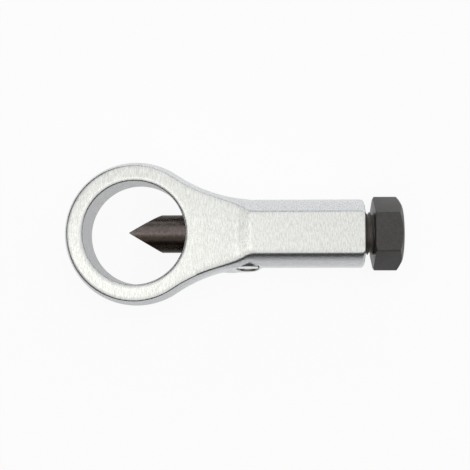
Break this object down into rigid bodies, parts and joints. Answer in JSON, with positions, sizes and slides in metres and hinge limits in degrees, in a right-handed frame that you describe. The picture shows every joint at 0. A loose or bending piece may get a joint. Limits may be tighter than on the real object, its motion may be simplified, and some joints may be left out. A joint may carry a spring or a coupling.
{
  "type": "nut splitter",
  "caption": "Ring-headed nut splitter: a hex-headed pressure screw drives a wedge-pointed blade across the ring to split a seized nut.",
  "frame": {"origin": "centre of the ring's bore, on the tool axis, half-way through the ring's thickness", "axes": "+X along the tool axis from the ring to the screw's head, +Z along the ring's bore, out of the front face, +Y across, away from the guide pin"},
  "size_m": [0.1257, 0.0538, 0.024],
  "materials": {
    "satin_forging": "satin plated, ground faces",
    "black_oxide_screw": "black oxide, oiled",
    "black_oxide_blade": "black oxide, ground point",
    "bright_pin": "bright ground",
    "bearing_ball": "polished",
    "spring_wire": "drawn wire"
  },
  "bodies": {
    "body": {"forged_body": "satin_forging", "guide_pin": "bright_pin"},
    "blade": {"splitting_blade": "black_oxide_blade", "thrust_ball": "bearing_ball", "snap_ring": "spring_wire"},
    "screw": {"pressure_screw": "black_oxide_screw"}
  },
  "joints": [
    {"name": "blade_slide", "type": "slide", "parent": "body", "child": "blade", "axis": [-1, 0, 0], "range_m": [-0.0205, 0.002]},
    {"name": "screw_spin", "type": "hinge", "parent": "blade", "child": "screw", "pos_m": [0.09, 0, 0], "axis": [-1, 0, 0], "range_deg": [-4920, 480]}
  ],
  "couplings": [
    {"joint": "screw_spin", "follows": "blade_slide", "rad_per_m": 4188.8}
  ]
}
